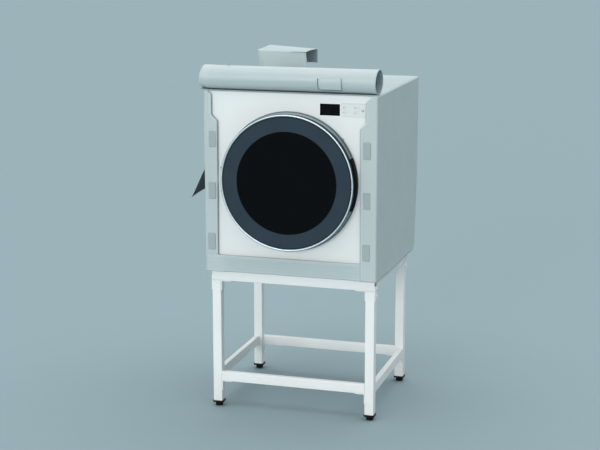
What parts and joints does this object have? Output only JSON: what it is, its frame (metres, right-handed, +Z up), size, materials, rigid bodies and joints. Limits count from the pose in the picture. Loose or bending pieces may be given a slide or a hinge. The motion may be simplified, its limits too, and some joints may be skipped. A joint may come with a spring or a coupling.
{
  "type": "gas tumble dryer on stand with weather cover",
  "caption": "Front-loading gas tumble dryer with a round glass door, in a fitted weather cover with its front flap rolled up, on a square-tube steel stand.",
  "frame": {"origin": "on the floor, midway between the four foot pads", "axes": "+Z up, -Y to the front where the door is, +X to the viewer's right"},
  "size_m": [0.7628, 0.742, 1.341],
  "materials": {
    "stand_paint": "powder coat",
    "zinc_steel": "zinc plated",
    "cap_plastic": "moulded",
    "foot_rubber": "moulded",
    "enamel": "semi-gloss enamel",
    "coated_steel": "galvanised sheet",
    "drum_steel": "brushed stainless",
    "lifter_plastic": "moulded",
    "felt": "pressed felt",
    "motor_paint": "stoved paint",
    "belt_rubber": "ribbed rubber",
    "blower_plastic": "moulded",
    "gas_brass": "machined",
    "filter_plastic": "moulded frame with mesh",
    "strip_plastic": "semi-gloss",
    "display_plastic": "gloss",
    "board_laminate": "laminate",
    "key_plastic": "satin",
    "door_silver": "silver paint",
    "trim_chrome": "bright",
    "door_glass": "dark printed tempered glass",
    "bowl_glass": "smoked heat-proof glass",
    "grip_plastic": "moulded",
    "hinge_steel": "coated",
    "cover_fabric": "coated cloth",
    "tape_fabric": "hook tape"
  },
  "bodies": {
    "cabinet": {"stand_legs": "stand_paint", "stand_top_rails": "stand_paint", "stand_lower_rails": "stand_paint", "stand_brackets": "stand_paint", "stand_bolts": "zinc_steel", "drum_bearing": "zinc_steel", "leg_caps": "cap_plastic", "cabinet_wrapper": "enamel", "front_panel": "enamel", "base_pan": "coated_steel", "back_panel": "coated_steel", "front_bulkhead": "coated_steel", "rear_bulkhead": "coated_steel", "exhaust_duct": "coated_steel", "exhaust_pipe": "coated_steel", "heat_duct": "coated_steel", "burner": "coated_steel", "drum_felt": "felt", "motor": "motor_paint", "drum_belt": "belt_rubber", "blower_housing": "blower_plastic", "filter_duct": "blower_plastic", "gas_valve": "gas_brass", "gas_pipe": "gas_brass", "control_strip": "strip_plastic", "display_window": "display_plastic", "control_board": "board_laminate", "hinge_bracket": "hinge_steel", "cover_top": "cover_fabric", "cover_left": "cover_fabric", "cover_right": "cover_fabric", "cover_back": "cover_fabric", "cover_front": "cover_fabric", "cover_roll": "cover_fabric", "exhaust_hood": "cover_fabric", "hook_tapes": "tape_fabric"},
    "door": {"door_frame": "door_silver", "door_trim_ring": "trim_chrome", "door_glass": "door_glass", "door_bowl": "bowl_glass", "door_grip": "grip_plastic", "door_latch": "hinge_steel", "hinge_pin": "hinge_steel"},
    "drum": {"drum_shell": "drum_steel", "drum_back": "drum_steel", "drum_lifters": "lifter_plastic", "drum_shaft": "zinc_steel"},
    "rotor": {"motor_shaft": "zinc_steel", "blower_wheel": "blower_plastic"},
    "filter": {"lint_filter": "filter_plastic"},
    "flap": {"side_flap": "cover_fabric"},
    "key_up": {"key_up": "key_plastic"},
    "key_down": {"key_down": "key_plastic"},
    "key_course": {"key_course": "key_plastic"},
    "key_start": {"key_start": "key_plastic"},
    "key_power": {"key_power": "key_plastic"},
    "foot_left_front": {"foot_left_front": "foot_rubber"},
    "foot_left_back": {"foot_left_back": "foot_rubber"},
    "foot_right_front": {"foot_right_front": "foot_rubber"},
    "foot_right_back": {"foot_right_back": "foot_rubber"}
  },
  "joints": [
    {"name": "door_swing", "type": "hinge", "parent": "cabinet", "child": "door", "pos_m": [-0.255, -0.318, 0.904], "axis": [0, 0, -1], "range_deg": [0, 120]},
    {"name": "drum_turn", "type": "hinge", "parent": "cabinet", "child": "drum", "pos_m": [0, 0, 0.904], "axis": [0, 1, 0], "continuous": true},
    {"name": "rotor_turn", "type": "hinge", "parent": "cabinet", "child": "rotor", "pos_m": [-0.24, 0, 0.634], "axis": [0, 1, 0], "continuous": true},
    {"name": "filter_lift", "type": "slide", "parent": "cabinet", "child": "filter", "axis": [0, 0, 1], "range_m": [0, 0.11]},
    {"name": "flap_swing", "type": "hinge", "parent": "cabinet", "child": "flap", "pos_m": [-0.3353, -0.08, 0.988], "axis": [0, 1, 0], "range_deg": [-25, 60]},
    {"name": "key_up_press", "type": "slide", "parent": "cabinet", "child": "key_up", "axis": [0, 1, 0], "range_m": [0, 0.0008], "stiffness_N_per_m": 800},
    {"name": "key_down_press", "type": "slide", "parent": "cabinet", "child": "key_down", "axis": [0, 1, 0], "range_m": [0, 0.0008], "stiffness_N_per_m": 800},
    {"name": "key_course_press", "type": "slide", "parent": "cabinet", "child": "key_course", "axis": [0, 1, 0], "range_m": [0, 0.0008], "stiffness_N_per_m": 800},
    {"name": "key_start_press", "type": "slide", "parent": "cabinet", "child": "key_start", "axis": [0, 1, 0], "range_m": [0, 0.0008], "stiffness_N_per_m": 800},
    {"name": "key_power_press", "type": "slide", "parent": "cabinet", "child": "key_power", "axis": [0, 1, 0], "range_m": [0, 0.0008], "stiffness_N_per_m": 800},
    {"name": "foot_left_front_level", "type": "slide", "parent": "cabinet", "child": "foot_left_front", "axis": [0, 0, -1], "range_m": [0, 0.012]},
    {"name": "foot_left_back_level", "type": "slide", "parent": "cabinet", "child": "foot_left_back", "axis": [0, 0, -1], "range_m": [0, 0.012]},
    {"name": "foot_right_front_level", "type": "slide", "parent": "cabinet", "child": "foot_right_front", "axis": [0, 0, -1], "range_m": [0, 0.012]},
    {"name": "foot_right_back_level", "type": "slide", "parent": "cabinet", "child": "foot_right_back", "axis": [0, 0, -1], "range_m": [0, 0.012]}
  ],
  "couplings": [
    {"joint": "rotor_turn", "follows": "drum_turn", "ratio": 26.556}
  ]
}
